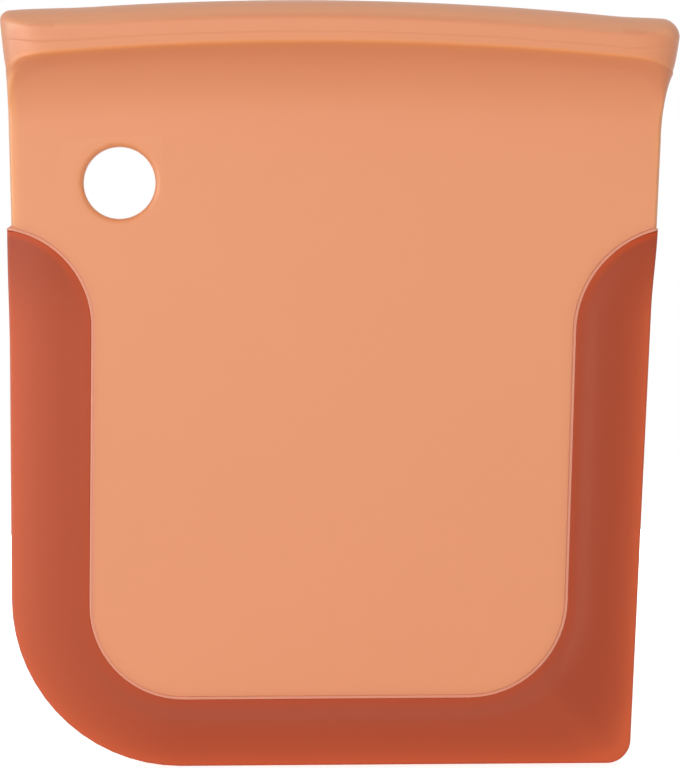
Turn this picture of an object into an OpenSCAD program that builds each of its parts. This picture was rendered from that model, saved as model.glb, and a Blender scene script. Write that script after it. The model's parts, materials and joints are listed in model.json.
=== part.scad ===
// A hand scraper for dough and bowls. A rigid plate carries a domed grip along its top,
// and a soft scraping edge is moulded round the other three sides.
// The scraping edge lies on Z = 0, the grip is up, and Y runs through the thickness.

/* [Overall] */
// Height from the scraping edge to the top of the grip
overall_h = 135.2; // [110:0.1:170]
// Length of the grip from end to end
grip_l = 120; // [110:0.5:150]

/* [Grip] */
// Depth of the grip from front to back
grip_d = 14; // [11:0.5:16]
// Height of the grip above its lower corner
grip_h = 7.9; // [7.5:0.1:9.5]
// Angle of the hollow flare where it meets the grip
flare_angle = 45; // [35:1:60]
// Radius of the lower corner of the grip
lip_r = 1; // [0.4:0.1:1.4]
// Radius of the shoulders between the upright faces and the domed top
shoulder_r = 1.2; // [0.8:0.1:2]
// Radius across the domed top
dome_r = 8.7; // [8.2:0.1:12]
// Radius of the long bow of the grip, seen from the front
bow_r = 553; // [400:10:900]
// Highest point of the bow, measured from the middle
bow_x = -11.3; // [-20:0.1:20]
// Length of the rounded end of the grip, seen from above
grip_end = 9.5; // [7:0.5:12]
// How square the ends are, seen from above: 2 gives a half ellipse
end_power = 3; // [2:0.1:3.5]
// Length at each end over which the shoulder grows
tip_run = 6; // [4:0.5:6.5]
// Length at each end over which the lower corner drops
drop_run = 2; // [1:0.5:4]
// How far the grip stands out past the plate at the left
left_flare = 1.07; // [0.5:0.01:3]
// How far the grip stands out past the plate at the right
right_flare = 2.5; // [0.5:0.1:3]
// Radius of the top left corner
left_corner = 1.6; // [1:0.1:3.5]
// Radius of the top right corner
right_corner = 2.9; // [1:0.1:3.5]
// Lift of the top at both ends
end_lift = 0.6; // [0:0.1:1]
// Length over which the left end lifts
left_lift_run = 17; // [8:0.5:24]
// Length over which the right end lifts
right_lift_run = 12; // [8:0.5:24]
// Drop of the lower corner round the left end
left_drop = 2.2; // [0:0.05:3]
// Drop of the lower corner round the right end
right_drop = 1.35; // [0:0.05:3]

/* [Plate] */
// Thickness of the plate
plate_t = 3.2; // [3:0.1:4]
// Length of the rounded side edge of the plate
plate_end = 0.5; // [0.4:0.1:2]
// Lean of the left side of the plate, in degrees
plate_left_lean = 1.1; // [0:0.1:3]
// Lean of the right side of the plate, in degrees
plate_right_lean = 3.12; // [1:0.01:4]

/* [Hanging hole] */
// Diameter of the hole
hole_d = 12.7; // [8:0.1:16]
// Distance from the left end of the grip to the middle of the hole
hole_in = 20.9; // [16:0.1:30]
// Distance from the top of the grip down to the middle of the hole
hole_down = 32.1; // [29:0.1:33]
// Radius of the rounded rim
hole_rim = 1; // [0.5:0.1:1.2]

/* [Soft edge] */
// Thickness of the soft edge beside the plate
soft_t = 2.6; // [2.2:0.1:2.8]
// Thickness of the scraping lip
lip_t = 1; // [0.6:0.1:1.6]
// Width of the sloping part behind the lip
taper_w = 9; // [6:0.5:10]
// How far in from the left end of the grip the left side is, at the scraping edge
left_foot_in = 1.3; // [1:0.05:6]
// How far in from the right end of the grip the right side is, at the scraping edge
right_foot_in = 9.75; // [6:0.05:14]
// Lean of the left side, in degrees
left_lean = 0; // [0:0.1:2]
// Lean of the right side, in degrees
right_lean = 3.15; // [1:0.05:4]
// How far the top of the left arm stands out past its straight side
left_arm_flare = 0.35; // [0:0.05:1]
// How far the top of the right arm stands out past its straight side
right_arm_flare = 0.5; // [0:0.05:1]
// Height over which the arms stand out
arm_flare_h = 14; // [10:1:24]
// Radius of the bend where the arms start to stand out
arm_bend_r = 300; // [100:10:400]
// Radius of the round corner for bowls
bowl_corner_r = 29.7; // [20:0.1:40]
// Radius of the tight corner for tins
tin_corner_r = 4.2; // [2:0.1:8]
// Width of the bottom band
band_w = 11.8; // [10:0.1:16]
// Width of the left arm at the bottom
left_arm_w = 13.4; // [11:0.05:16]
// Width of the right arm at the bottom
right_arm_w = 11.85; // [11:0.05:16]
// Lean of the inner side of the left arm, in degrees
left_arm_lean = 0.8; // [0:0.1:2]
// Lean of the inner side of the right arm, in degrees
right_arm_lean = 2.2; // [1:0.1:4]
// Distance from the top of the grip down to the top of the left arm
left_arm_down = 40.1; // [39:0.1:50]
// Distance from the top of the grip down to the top of the right arm
right_arm_down = 40.7; // [39:0.1:50]
// Radius of the end of the left arm
left_end_r = 17.4; // [12:0.1:20]
// Radius of the end of the right arm
right_end_r = 18.9; // [12:0.1:20]
// Radius of the inner left corner
inner_left_r = 16.5; // [10:0.5:20]
// Radius of the inner right corner
inner_right_r = 17.6; // [10:0.5:20]

/* [Joint of the two materials] */
// Width of the land between the face of the plate and the soft edge
land_w = 0.5; // [0.3:0.1:1]
// Height of the shoulders of the land above both arms
shoulder_h = 0.8; // [0.4:0.1:2]
// Thickness of the hidden tongue
tongue_t = 1; // [0.8:0.1:1.4]
// Distance from the scraping edge to the tongue
tongue_inset = 5.5; // [5:0.5:7]
// Diameter of the locking holes
lock_d = 2.4; // [1.6:0.2:3]
// Distance from the scraping edge to the middles of the locking holes
lock_inset = 8.6; // [8.4:0.1:9]
// Distance between the locking holes
lock_pitch = 9; // [6:0.5:14]

/* [Hidden] */
// Overrun of every cut past the face that it opens.
cut_over = 2;
// Steps in the arcs, rings and sections.
bore_fn = 96;
lock_fn = 32;
arc_steps = 12;
end_steps = 8;
front_steps = 16;
flare_steps = 8;
round_steps = 4;
face_steps = 3;
dome_steps = 5;
taper_steps = 5;
// Width of the ridge left at the top, and how much of each end's flare its lower corner has reached.
ridge_share = 0.06;
left_corner_share = 0.16;
right_corner_share = 0.59;
// Powers by which the rest of each flare is reached up the face, and by which the lower corner drops.
left_ease = 0.75;
right_ease = 0.67;
drop_ease = 1.6;
// How far past the depth of a level its end wall would run on before it has turned into the flare
soft_share = 1.333;

// Least radius of a corner that is moved inwards.
tight_r = 0.5;

half_l = grip_l / 2;
half_plate = plate_t / 2;
half_grip = grip_d / 2;

// Places that follow the ends and the top of the grip.
hole_x = half_l - hole_in;
hole_z = overall_h - hole_down;
left_foot = half_l - left_foot_in;
right_foot = half_l - right_foot_in;
left_arm_h = overall_h - left_arm_down;
right_arm_h = overall_h - right_arm_down;

// Section of the grip up to its lower corner: a hollow arc and a small round corner. Each level holds
// its height, its half depth and the share of the flare reached.
flare_r = (half_grip - half_plate) / (1 - cos(flare_angle)) - lip_r;
corner_z = overall_h - grip_h;
flare_z = corner_z - flare_r * sin(flare_angle);
dome_z = overall_h - dome_r;
shoulder_z = dome_z + sqrt(pow(dome_r - shoulder_r, 2) - pow(half_grip - shoulder_r, 2));
foot_level = [[0, half_plate, 0]];
flare_levels = [for (k = [0 : flare_steps]) let (a = flare_angle * k / flare_steps)
    [flare_z + flare_r * sin(a), half_plate + flare_r * (1 - cos(a)), (1 - cos(a)) / (1 - cos(flare_angle))]];
corner_levels = [for (k = [1 : round_steps]) let (a = flare_angle * (1 - k / round_steps))
    [corner_z + lip_r * (sin(flare_angle) - sin(a)), half_grip - lip_r * (1 - cos(a)), 1]];
levels = concat(foot_level, flare_levels, corner_levels);

// Stations along the back half of every ring, from the right tip to the left one. Each holds its side
// (1 right, 0 between the ends, -1 left), its angle round the end and its share of the way across.
stations = concat(
    [for (k = [0 : end_steps]) [1, 90 * k / end_steps, 0]],
    [for (k = [1 : front_steps - 1]) [0, 90, k / front_steps]],
    [for (k = [0 : end_steps]) [-1, 90 * (1 - k / end_steps), 1]]
);
function pick(side, left, right) = side < 0 ? left : right;

// Round end of a ring, seen from above: how far its point at an angle lies in from the tip, and how far
// out from the middle, both as shares.
function end_in(a) = 1 - pow(cos(a), 2 / end_power);
function end_out(a) = pow(sin(a), 2 / end_power);

// Place of a station across the part, between the tips at its left and right.
function station_x(s, left, right, run) = s[0] == 0
    ? right - run - (right + left - 2 * run) * s[2]
    : s[0] * (pick(s[0], left, right) - run * end_in(s[1]));

// The bow of the grip, seen from the front, the lift of its top near both ends, and the drop of its
// lower corner on the way round an end.
function bow(x) = sqrt(bow_r * bow_r - pow(x - bow_x, 2)) - bow_r;
function smooth(s) = let (c = min(max(s, 0), 1)) c * c * (3 - 2 * c);
function near_end(x) = let (run = pick(x, left_lift_run, right_lift_run))
    smooth((abs(x) - half_l + run) / run);
function raised(p, share) = p + [0, 0, bow(p[0]) + end_lift * share * near_end(p[0])];
function tip_share(s, run) = max(0, 1 - grip_end * end_in(s[1]) / run);
function end_drop(s) = pick(s[0], left_drop, right_drop) * pow(tip_share(s, drop_run), drop_ease);

// Distance from the middle to one end of a level: the leaning side of the plate, and the part of the
// flare that is reached there and that far up the upright face.
function end_place(side, z, share, face) = let (
        below = z == 0 ? shoulder_z + bow(side * half_l) : shoulder_z - z,
        flare = pick(side, left_flare, right_flare),
        start = pick(side, left_corner_share, right_corner_share),
        reached = start + (1 - start) * pow(face, pick(side, left_ease, right_ease))
    )
    half_l - flare - below * tan(pick(side, plate_left_lean, plate_right_lean)) + flare * share * reached;

// Depth along a ring as a share of its level's depth: it follows the end wall at first, and turns softly
// into the level once the wall would stand out past it by the given reach.
function softened(wall, reach) = let (power = reach / (reach - 1))
    reach > 1 ? wall - pow(wall, power) / (power * pow(reach, power - 1)) : wall;

// Half a ring at a level of the section. The end wall of the grip runs on down the flare, and the hollow
// flare cuts into it.
function level_half(level) = let (
        z = level[0],
        depth = level[1],
        share = level[2],
        reach = min(soft_share, half_grip / depth),
        last = asin(min(1, pow(reach * depth / half_grip, end_power / 2))),
        side_run = plate_end * (1 - share),
        run = grip_end * end_in(last) + side_run,
        left = end_place(-1, z, share, 0),
        right = end_place(1, z, share, 0)
    )
    [for (s = stations) let (
        a = last * s[1] / 90,
        inwards = grip_end * end_in(a) + side_run * (1 - cos(s[1])),
        x = s[0] == 0 ? station_x(s, left, right, run) : s[0] * (pick(s[0], left, right) - inwards),
        p = [x, depth * softened(end_out(a) * half_grip / depth, reach), z - end_drop(s) * share]
    ) z == 0 ? p : raised(p, 0)];

// A ball that rolls inside the upright face and under the dome rounds the shoulder. Round the ends it
// grows to the radius of the upper corner. This holds its middle, its radius, the tilt of the dome
// where it touches, and the way to the face.
function ball(s) = let (
        corner = pick(s[0], left_corner, right_corner),
        radius = shoulder_r + (corner - shoulder_r) * pow(tip_share(s, tip_run), 2),
        across = s[0] * pow(cos(s[1]), 2 - 2 / end_power) / grip_end,
        outwards = direction([0, 0], [across, pow(sin(s[1]), 2 - 2 / end_power) / half_grip]),
        x = station_x(s, half_l, half_l, grip_end) - radius * outwards[0],
        y = half_grip * end_out(s[1]) - radius * outwards[1],
        reach = dome_r - radius
    )
    [[x, y, dome_z + sqrt(reach * reach - y * y)], radius, y / reach, outwards];

// Half a ring on the upright face, on the shoulder and on the dome, each at a share of the way up.
function face_half(share) = let (z = corner_z + (shoulder_z - corner_z) * share)
    [for (s = stations) let (
        x = station_x(s, end_place(-1, z, 1, share), end_place(1, z, 1, share), grip_end),
        low = corner_z + lip_r * sin(flare_angle) - end_drop(s)
    ) raised([x, half_grip * end_out(s[1]), low + (ball(s)[0][2] - low) * share], share)];
function shoulder_half(share) = [for (s = stations) let (
        b = ball(s),
        way = [b[3][0] * (1 - share), b[3][1] * (1 - share) + b[2] * share, sqrt(1 - b[2] * b[2]) * share]
    ) raised(b[0] + b[1] * way / norm(way), 1)];
function dome_half(share) = [for (s = stations) let (
        b = ball(s),
        inwards = abs(s[0]) * (s[0] * (half_l - grip_end) - b[0][0]),
        y = (b[0][1] + b[1] * b[2]) * (1 - share)
    ) raised([b[0][0] + inwards * share / 2, y, dome_z + sqrt(dome_r * dome_r - y * y)], 1)];

// A whole ring: the back half, and its mirror image round the front.
function whole_ring(half) = let (last = len(half) - 1)
    concat(half, [for (k = [1 : last - 1]) let (p = half[last - k]) [p[0], -p[1], p[2]]]);

// Faces of a closed skin through rings of equal length. The first ring is closed flat,
// and the last one is closed by strips between its two long sides.
function skin_sides(count, n) = [for (j = [0 : count - 2]) for (k = [0 : n - 1])
    [j * n + k, (j + 1) * n + k, (j + 1) * n + (k + 1) % n, j * n + (k + 1) % n]];
function strip_cap(base, n) = concat(
    [[base, base + n - 1, base + 1]],
    [for (k = [1 : n / 2 - 2]) [base + k, base + n - k, base + n - k - 1, base + k + 1]],
    [[base + n / 2 - 1, base + n / 2 + 1, base + n / 2]]
);

// Blank of the plate with its grip: the plate runs straight down to the scraping edge
// with rounded sides.
module blank() {
    halves = concat(
        [for (level = levels) level_half(level)],
        [for (k = [1 : face_steps - 1]) face_half(k / face_steps)],
        [for (k = [0 : round_steps]) shoulder_half(k / round_steps)],
        [for (k = [1 : dome_steps]) dome_half((1 - ridge_share) * k / dome_steps)]
    );
    rings = [for (half = halves) whole_ring(half)];
    n = len(rings[0]);
    points = [for (ring = rings) for (p = ring) p];
    faces = concat(
        [[for (k = [0 : n - 1]) k]],
        skin_sides(len(rings), n),
        strip_cap((len(rings) - 1) * n, n)
    );
    polyhedron(points, faces);
}

// Outline with round corners. Each entry is a corner and its radius, in order against the clock
// as seen from the front. A positive inset moves every side inwards.
function turned(v, a) = [v[0] * cos(a) - v[1] * sin(a), v[0] * sin(a) + v[1] * cos(a)];
function direction(a, b) = (b - a) / norm(b - a);
function round_corner(before, at, after, r, inset) = let (
        u = direction(before, at),
        v = direction(at, after),
        turn = atan2(u[0] * v[1] - u[1] * v[0], u * v),
        side = turn < 0 ? -1 : 1,
        normal = turned(u, 90),
        moved = at + inset * (normal + turned(v, 90)) / (1 + u * v),
        radius = max(r - side * inset, min(r, tight_r)),
        start = moved - u * radius * tan(abs(turn) / 2),
        middle = start + side * radius * normal
    )
    r == 0 ? [moved]
    : [for (k = [0 : arc_steps]) middle - side * radius * turned(normal, turn * k / arc_steps)];
function outline(corners, inset) = let (n = len(corners))
    [for (i = [0 : n - 1]) for (p = round_corner(corners[(i + n - 1) % n][0], corners[i][0],
        corners[(i + 1) % n][0], corners[i][1], inset)) p];

// Outer outline of the soft edge. It runs on above the arms, where the plate is.
bend_z = min(left_arm_h, right_arm_h) - arm_flare_h;
function stand_out(z) = max(0, z - bend_z) / arm_flare_h;
function left_side(z) = left_foot + z * tan(left_lean) + left_arm_flare * stand_out(z);
function right_side(z) = right_foot + z * tan(right_lean) + right_arm_flare * stand_out(z);
function open_outline(left_z, right_z) = [
    [[-left_side(left_z), left_z], 0],
    [[-left_side(bend_z), bend_z], arm_bend_r],
    [[-left_foot, 0], bowl_corner_r],
    [[right_foot, 0], tin_corner_r],
    [[right_side(bend_z), bend_z], arm_bend_r],
    [[right_side(right_z), right_z], 0]
];
edge_corners = open_outline(flare_z, flare_z);

// Outline of the land. Its top slopes in to the plate at 45 degrees and makes a small shoulder
// above each arm.
left_shoulder_z = left_arm_h + shoulder_h;
right_shoulder_z = right_arm_h + shoulder_h;
land_corners = concat(open_outline(left_shoulder_z, right_shoulder_z), [
    [[right_side(right_shoulder_z) - band_w, right_shoulder_z + band_w], 0],
    [[band_w - left_side(left_shoulder_z), left_shoulder_z + band_w], 0]
]);

// Inner outline of the soft edge. Above the arms it runs past both sides.
inner_left = left_foot - left_arm_w;
inner_right = right_foot - right_arm_w;
past = half_l + cut_over;
core_corners = [
    [[-past, overall_h + cut_over], 0],
    [[-past, left_arm_h], 0],
    [[left_arm_h * tan(left_arm_lean) - inner_left, left_arm_h], left_end_r],
    [[band_w * tan(left_arm_lean) - inner_left, band_w], inner_left_r],
    [[inner_right + band_w * tan(right_arm_lean), band_w], inner_right_r],
    [[inner_right + right_arm_h * tan(right_arm_lean), right_arm_h], right_end_r],
    [[past, right_arm_h], 0],
    [[past, overall_h + cut_over], 0]
];

module slab(points, thickness) {
    rotate([90, 0, 0])
        linear_extrude(height = thickness, center = true)
            polygon(points);
}

// Centres of the locking holes along one straight stretch, spread evenly.
function spread(a, b) = let (count = max(1, floor(norm(b - a) / lock_pitch)))
    [for (k = [0 : count]) a + (b - a) * k / count];
lock_left = left_foot - lock_inset;
lock_right = right_foot - lock_inset;
lock_places = concat(
    spread([-lock_left, bowl_corner_r], [-lock_left, left_arm_h - left_end_r]),
    spread([bowl_corner_r - left_foot, lock_inset], [lock_right - lock_pitch, lock_inset]),
    spread([lock_right + lock_inset * tan(right_lean), lock_inset + lock_pitch],
        [lock_right + (right_arm_h - right_end_r) * tan(right_lean), right_arm_h - right_end_r])
);

module tongue() {
    difference() {
        slab(outline(edge_corners, tongue_inset), tongue_t);
        for (p = lock_places)
            translate([p[0], 0, p[1]])
                rotate([90, 0, 0])
                    cylinder(h = tongue_t + cut_over, d = lock_d, center = true, $fn = lock_fn);
    }
}

module land() {
    intersection() {
        slab(outline(land_corners, 0), soft_t);
        slab(outline(core_corners, 0), soft_t + cut_over);
    }
}

// Round hole with rounded rims: a cylinder that opens out at both faces.
module hanging_hole() {
    straight = half_plate - hole_rim;
    translate([-hole_x, 0, hole_z])
        rotate([90, 0, 0]) {
            cylinder(h = plate_t + cut_over, d = hole_d, center = true, $fn = bore_fn);
            for (side = [0, 1])
                mirror([0, 0, side])
                    translate([0, 0, straight])
                        difference() {
                            cylinder(h = hole_rim + cut_over, r = hole_d / 2 + hole_rim, $fn = bore_fn);
                            rotate_extrude($fn = bore_fn)
                                translate([hole_d / 2 + hole_rim, 0])
                                    circle(r = hole_rim, $fn = bore_fn);
                        }
        }
}

module scraper_body() {
    color("#E99D75")
        difference() {
            union() {
                intersection() {
                    blank();
                    slab(outline(core_corners, land_w), grip_d + cut_over);
                }
                land();
                tongue();
            }
            hanging_hole();
        }
}

// Blank of the soft edge: nested outlines that rise from a round lip to the full thickness.
lip_half = lip_t / 2;
soft_half = soft_t / 2;
edge_levels = concat(
    [for (k = [0 : taper_steps]) let (s = 1 - k / taper_steps)
        [lip_half + (taper_w - lip_half) * s, lip_half + (soft_half - lip_half) * sin(90 * s)]],
    [for (k = [1 : round_steps - 1]) let (a = 90 * k / round_steps)
        [lip_half * (1 - sin(a)), lip_half * cos(a)]]
);

module edge_blank() {
    upper = edge_levels;
    last = len(upper) - 1;
    all_levels = concat(
        upper,
        [[0, 0]],
        [for (k = [0 : last]) [upper[last - k][0], -upper[last - k][1]]]
    );
    rings = [for (s = all_levels) [for (p = outline(edge_corners, s[0])) [p[0], s[1], p[1]]]];
    n = len(rings[0]);
    points = [for (ring = rings) for (p = ring) p];
    faces = concat(
        [[for (k = [0 : n - 1]) k]],
        skin_sides(len(rings), n),
        [[for (k = [0 : n - 1]) len(points) - 1 - k]]
    );
    polyhedron(points, faces);
}

module soft_edge() {
    color("#B05038")
        difference() {
            edge_blank();
            slab(outline(core_corners, 0), soft_t + cut_over);
            tongue();
        }
}

scraper_body();
soft_edge();
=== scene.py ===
import json
import math

import bpy
import numpy as np
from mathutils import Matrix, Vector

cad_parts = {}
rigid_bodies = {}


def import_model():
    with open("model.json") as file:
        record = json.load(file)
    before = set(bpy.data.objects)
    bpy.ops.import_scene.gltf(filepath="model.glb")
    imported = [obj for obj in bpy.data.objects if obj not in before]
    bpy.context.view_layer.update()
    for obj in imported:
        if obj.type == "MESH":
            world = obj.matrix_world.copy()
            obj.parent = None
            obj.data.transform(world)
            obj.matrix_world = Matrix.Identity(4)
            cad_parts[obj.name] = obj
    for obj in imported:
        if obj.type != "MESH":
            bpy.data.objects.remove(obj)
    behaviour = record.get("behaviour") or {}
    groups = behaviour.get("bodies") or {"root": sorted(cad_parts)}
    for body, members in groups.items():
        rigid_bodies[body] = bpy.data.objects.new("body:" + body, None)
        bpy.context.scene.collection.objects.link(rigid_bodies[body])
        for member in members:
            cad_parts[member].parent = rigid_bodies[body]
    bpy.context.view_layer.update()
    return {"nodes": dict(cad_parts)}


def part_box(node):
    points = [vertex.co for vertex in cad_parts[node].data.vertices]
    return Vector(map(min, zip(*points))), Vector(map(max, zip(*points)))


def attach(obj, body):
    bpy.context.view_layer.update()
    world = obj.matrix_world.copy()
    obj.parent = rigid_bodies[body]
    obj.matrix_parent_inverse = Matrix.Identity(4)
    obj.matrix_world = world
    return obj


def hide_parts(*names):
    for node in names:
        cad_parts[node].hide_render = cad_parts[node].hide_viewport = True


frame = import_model()
mm = 0.001

# The frame gives the sizes that everything else hangs on. All the shape values below are in millimetres,
# and the meshes are turned into metres when they are made.
bodyLow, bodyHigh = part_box("scraper_body")
gripTop = bodyHigh.z / mm
halfLength = bodyHigh.x / mm
halfGrip = bodyHigh.y / mm
print(f"frame loaded: grip {2 * halfLength:.1f} mm long, {gripTop:.1f} mm high")

grip = {
    "height": 7.9,           # from the top down to the lower corner
    "flareAngle": 45.0,      # of the hollow flare under the lower corner
    "lipRadius": 1.0,        # of the lower corner
    "shoulderRadius": 1.2,
    "domeRadius": 8.7,
    "bowRadius": 553.0,      # the long bow of the top, and where along the grip it is highest
    "bowMiddle": -11.3,
    "endRun": 9.5,           # length of the round end, seen from above
    "endPower": 3.0,         # how square it is: 2 gives a half ellipse
    "ridgeIn": 0.5,          # how far the ridge of the dome draws back from the tip, as a share of the end
    "tipRun": 6.0,           # length of the end over which the shoulder grows
    "softReach": 1.333,      # how far past a level's depth the end wall runs before it has turned in
    "plateShare": 0.15,      # of the flare over which its side turns into the plate's round side
    "lift": 0.6,             # of the top at both ends
    "dropEase": 2.0,         # how fast the lower corner drops on its way round an end
    "cornerTilt": 0.0055,    # of the lower corner against the top, per millimetre of length
    "cornerShift": -0.08,    # of the lower corner in the middle of the grip
    "seamHeight": 1.9,       # the parting line above the place of an untilted lower corner
    "seamTilt": 0.003,       # of the parting line, per millimetre of length
    "seamLift": 0.95,        # of the parting line on its way round the ends
    "seamLiftRun": 8.0,
    "seamDepth": 0.035,
    "seamWidth": 0.16,
}
# Left and right end: flare past the plate, share of it reached at the lower corner, how the rest
# eases in, corner radius, drop of the lower corner, lean of the plate's side, and the lengths over
# which the corner drops and the top lifts.
ends = {
    "left": {"flare": 1.07, "cornerShare": 0.16, "ease": 0.75, "corner": 1.6, "drop": 2.0, "lean": 1.1,
             "dropRun": 3.8, "liftRun": 17.0},
    "right": {"flare": 2.5, "cornerShare": 0.59, "ease": 0.67, "corner": 2.9, "drop": 1.6, "lean": 3.12,
              "dropRun": 6.2, "liftRun": 12.0},
}
plate = {
    "thickness": 3.2,
    "sideRun": 0.6,          # length of the rounded side edge
    "sideReach": 2.0,        # that edge gives way to the arm's end over this many of its lengths
    "rimRadius": 0.15,       # of the raised face, where it steps down to the land
    "rimRings": (0.58, 0.66, 0.75),     # offsets of the rows of points inside that step
    "landWidth": 0.5,        # the land is the strip between the raised face and the soft edge
    "landRadius": 0.05,
    "sunk": 0.6,             # how far the land runs on below the face
    "shoulder": 0.8,         # height of the plate's last whole row above the arms
    "shoulderLip": 0.25,     # flat part of the land above an arm, before its slope
    "slopeReach": 4.0,       # the land's slope above an arm fades over this many of its widths
    "rowSag": 0.9,           # of the rows of points between the hole and the arms
}
hole = {
    "x": -39.1,
    "z": 103.1,
    "radius": 6.35,
    "rim": 1.0,              # radius of its rounded edge
    "window": 8.7,           # half height of the patch of rings round it
    "from": 0.070,           # left and right side of that patch, as shares of the plate's width
    "to": 0.234,
}
edge = {
    "thickness": 2.6,
    "lip": 1.0,              # thickness of the scraping rim, and length over which it is reached
    "taper": 9.0,
    "bowlRadius": 29.7,      # outer corners on the left and on the right
    "tinRadius": 4.2,
    "band": 11.8,            # height of the soft edge in the middle of the bottom
    "jointRadius": 0.06,
    "leastTurn": 0.004,      # angle between two neighbours on the inner corner, at least
    "rimRows": (0, 0.02, 0.08, 0.18, 0.32, 0.5, 0.75, 1.05),     # rows of points in from the rim
    "rimFull": 3.0,          # where the soft edge is narrower than this, those rows draw closer
    "rowPower": 1.3,         # how the rows after them crowd towards the rim
    "jointRows": (0.985, 0.995, 1.0),   # and the last ones before the joint, as shares of the way
    "glowDepth": 2.4,        # how deep light gets into the rim, and where the rim faces left
    "glowLeft": 3.6,
    "glowFade": 22.0,        # length over which the glow fades towards the arm tops
    "jointStrip": 1.5,       # width of the redder strip along the joint, and of its soft side
    "jointFade": 0.9,
    "jointLoss": 0.6,        # how much of that strip is gone below the arm tops
    "leftLoss": 0.7,         # how much of the left arm's painted light from the left is gone at its top
    "bandPlace": 2.6,        # middle and half width of a band of painted sheen beside the joint
    "bandWidth": 1.5,
    "cornerGlow": 0.60,      # more glow in the tight corner, and how far it reaches
    "cornerReach": 7.0,
}
# Left and right arm: distance of the side from the middle, width at the foot, leans of both sides,
# height, radius of the arm's end and of the inner corner, and how far its top stands out.
arms = {
    "left": {"foot": 58.7, "width": 13.4, "lean": 0.0, "innerLean": 0.8, "top": 95.1,
             "endRadius": 17.4, "innerRadius": 16.5, "flare": 0.35, "flareFrom": 72.0, "flareRun": 22.0},
    "right": {"foot": 50.25, "width": 11.85, "lean": 3.17, "innerLean": 2.2, "top": 94.5,
              "endRadius": 18.9, "innerRadius": 17.6, "flare": 0.5, "flareFrom": 80.0, "flareRun": 14.0},
}
# Painted light and shade in the plastic's colour: a warmer painted glow along the lower corner and round the
# hole, warmer painted shade in the hollow below the grip, and painted glow where light gets in at the sides
# of the plate. Painted shade makes it dimmer beside the land and on the upright face, and a painted sheen
# makes the dome paler.
glow = {
    "cornerShare": 0.9,
    "cornerWidth": 0.7,          # it is wider at the left end and fades at the right end
    "cornerGrowth": 0.6,
    "growthReach": 1.4,
    "cornerFade": 0.8,
    "fadeReach": 4.0,
    "holeShare": 0.5,
    "holeOffset": 0.4,
    "holeWidth": 0.45,
    "hollowDepth": 12.0,
    "hollowPower": 1.5,
    "leftDepth": 1.3,
    "rightDepth": 0.6,
    "rightShare": 0.8,
    "leftStart": 3.0,            # how far below the lower corner each side has begun to glow
    "rightStart": 14.0,
    # width of the painted shade beside the land
    "edgeWidth": 0.6,
    "faceShare": 0.35,           # how much of that painted shade the upright face gets
    "faceHeight": 5.6,           # where it gives way to the dome's painted sheen, and over what length
    "faceRise": 1.2,
    "tipFade": 2.5,              # both tones fade over this length at the tips
}
# How many points or rows each part of a surface gets.
counts = {
    "rim": 15,               # columns round an end, or across the stepped edge of the face
    "left": 8, "middle": 31, "right": 66,         # columns left of the hole, over it and right of it
    "dome": 9, "shoulder": 7, "wall": 8, "seam": 5, "corner": 7, "flare": 26, "plate": 26,
    "holePatch": 4, "holeRim": 9,
    "armEnd": 26, "inner": 14, "innerCorner": 18,
    "landEdge": 4, "landBottom": 12,
    "side": 14, "outerCorner": 16, "foot": 6, "bottom": 14, "width": 15,
}

halfPlate = plate["thickness"] / 2
halfSoft = edge["thickness"] / 2
cornerZ = gripTop - grip["height"]
flareSweep = math.radians(grip["flareAngle"])
flareRadius = (halfGrip - halfPlate) / (1 - math.cos(flareSweep)) - grip["lipRadius"]
flareZ = cornerZ - flareRadius * math.sin(flareSweep)
domeZ = gripTop - grip["domeRadius"]


# Height of a circle through its own top: sqrt(r^2 - (x - c)^2) - r.
def bowRise(x, radius, middle):
    return np.sqrt(radius ** 2 - (x - middle) ** 2) - radius


# Smooth step from 0 to 1: 3 s^2 - 2 s^3.
def smoothStep(s):
    s = np.clip(s, 0, 1)
    return s * s * (3 - 2 * s)


# Round end of the grip from above, |x/run|^p + |y/half|^p = 1: how far the point at an angle lies in
# from the tip, and how far out from the middle, both as shares.
def endIn(angle):
    return 1 - np.cos(angle) ** (2 / grip["endPower"])


def endOut(angle):
    return np.sin(angle) ** (2 / grip["endPower"])


# Depth along a row as a share of its level's depth. It follows the end wall at first and turns softly
# into the level, w - w^k / (k r^(k - 1)) with k = r / (r - 1), where the wall reaches r.
def softened(wall, reach):
    if reach <= 1:
        return wall
    power = reach / (reach - 1)
    return wall - (wall / reach) ** power * reach / power


# Height at which a ball that rolls inside the wall touches it: the ball's middle stays one ball radius
# inside the dome, so z = domeZ + sqrt((R - r)^2 - y^2).
def ballHeight(y, radius):
    return domeZ + np.sqrt((grip["domeRadius"] - radius) ** 2 - y ** 2)


shoulderZ = ballHeight(halfGrip - grip["shoulderRadius"], grip["shoulderRadius"])


# Distance from the middle to the tip of one end: the leaning side of the plate, plus the part of the
# flare that has been reached. Both shares run from 0 to 1.
def endTip(end, levelZ, flareShare, faceShare):
    reached = end["cornerShare"] + (1 - end["cornerShare"]) * faceShare ** end["ease"]
    side = halfLength - end["flare"] - (shoulderZ - levelZ) * math.tan(math.radians(end["lean"]))
    return side + end["flare"] * flareShare * reached


# Distance from the middle to the plate's side at a real height.
def plateSide(name, z):
    sign = -1 if name == "left" else 1
    end = ends[name]
    drop = shoulderZ + bowRise(sign * halfLength, grip["bowRadius"], grip["bowMiddle"]) - z
    return halfLength - end["flare"] - drop * math.tan(math.radians(end["lean"]))


# Distance from the middle to the outer side of an arm: its foot, its lean and the flare near its top.
def armSide(name, z):
    arm = arms[name]
    out = arm["flare"] * smoothStep((z - arm["flareFrom"]) / arm["flareRun"])
    return arm["foot"] + z * math.tan(math.radians(arm["lean"])) + out


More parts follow.
